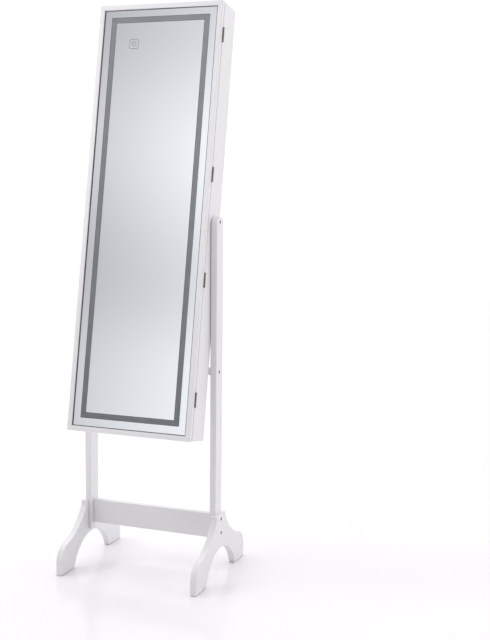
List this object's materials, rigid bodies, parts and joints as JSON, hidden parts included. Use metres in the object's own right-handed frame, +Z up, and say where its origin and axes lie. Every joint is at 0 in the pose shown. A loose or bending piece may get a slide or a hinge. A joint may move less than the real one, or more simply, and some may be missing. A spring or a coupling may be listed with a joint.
{
  "type": "cheval mirror cabinet",
  "caption": "Tall free-standing dressing mirror whose lit mirror door is hinged to a shallow jewellery cabinet that tilts between uprights on arched feet.",
  "frame": {"origin": "on the floor, midway between the feet and under the pivot axis of the uprights", "axes": "+X to the viewer's right, +Y backwards (the mirror faces -Y), +Z up"},
  "size_m": [0.429, 0.362, 1.5996],
  "materials": {
    "lacquered_board": "satin white lacquer over fibreboard",
    "faced_board": "white faced hardboard",
    "dowel_wood": "plain beech",
    "lining_felt": "short grey velvet on card",
    "roll_velvet": "soft grey velvet",
    "pad_felt": "grey felt",
    "clear_glass": "polished float glass",
    "silvering": "silvered",
    "frosted_glass": "etched, unlit",
    "foam_tape": "closed foam",
    "light_strip": "unlit",
    "circuit_board": "solder mask",
    "lead_sheath": "insulated",
    "screw_steel": "zinc plated",
    "bolt_steel": "nickel plated",
    "insert_brass": "plain",
    "peg_metal": "polished",
    "hinge_steel": "dark plated",
    "clear_plastic": "clear",
    "white_plastic": "moulded",
    "grey_plastic": "moulded",
    "cell_wrap": "printed sleeve, plain"
  },
  "bodies": {
    "stand": {"foot_left": "lacquered_board", "foot_right": "lacquered_board", "upright_left": "lacquered_board", "upright_right": "lacquered_board", "stretcher": "lacquered_board", "cross_rail": "lacquered_board", "stretcher_bolts": "bolt_steel", "barrel_nuts": "screw_steel", "rail_bolts": "bolt_steel", "rail_inserts": "insert_brass", "rest_pads": "pad_felt", "floor_glides": "white_plastic"},
    "cabinet": {"side_left": "lacquered_board", "side_right": "lacquered_board", "case_top": "lacquered_board", "case_bottom": "lacquered_board", "back_panel": "faced_board", "back_screws": "screw_steel", "case_dowels": "dowel_wood", "back_lining": "lining_felt", "pivot_bolts": "bolt_steel", "pivot_inserts": "insert_brass", "pivot_spacers": "white_plastic", "necklace_rail": "lacquered_board", "necklace_pegs": "peg_metal", "ring_tray": "lacquered_board", "ring_rolls": "roll_velvet", "shelf_lower": "lacquered_board", "shelf_middle": "lacquered_board", "shelf_upper": "lacquered_board", "shelf_lips": "clear_plastic", "shelf_pins": "peg_metal", "catch_magnets": "white_plastic", "hinge_case_leaves": "hinge_steel", "hinge_pins": "hinge_steel", "hinge_case_screws": "hinge_steel"},
    "door": {"door_stile_left": "lacquered_board", "door_stile_right": "lacquered_board", "door_rail_top": "lacquered_board", "door_rail_bottom": "lacquered_board", "mirror_glass": "clear_glass", "mirror_silvering": "silvering", "light_band": "frosted_glass", "glass_tape": "foam_tape", "light_strips": "light_strip", "touch_symbol": "frosted_glass", "touch_sensor": "circuit_board", "light_driver": "circuit_board", "door_wiring": "lead_sheath", "door_board": "faced_board", "board_screws": "screw_steel", "door_lining": "lining_felt", "battery_box": "white_plastic", "battery_cells": "cell_wrap", "battery_contacts": "screw_steel", "earring_bars": "grey_plastic", "catch_plates": "screw_steel", "hinge_door_leaves": "hinge_steel", "hinge_door_screws": "hinge_steel"},
    "battery_lid": {"battery_cover": "white_plastic"}
  },
  "joints": [
    {"name": "case_tilt", "type": "hinge", "parent": "stand", "child": "cabinet", "pos_m": [0, 0, 1], "axis": [-1, 0, 0], "range_deg": [-2.7, 9.5]},
    {"name": "door_swing", "type": "hinge", "parent": "cabinet", "child": "door", "pos_m": [0.1883, -0.03628, 1.00672], "axis": [0, 0.1822, 0.9833], "range_deg": [0, 120]},
    {"name": "battery_cover_pull", "type": "slide", "parent": "door", "child": "battery_lid", "axis": [0, 0.9833, -0.1822], "range_m": [0, 0.012]}
  ]
}
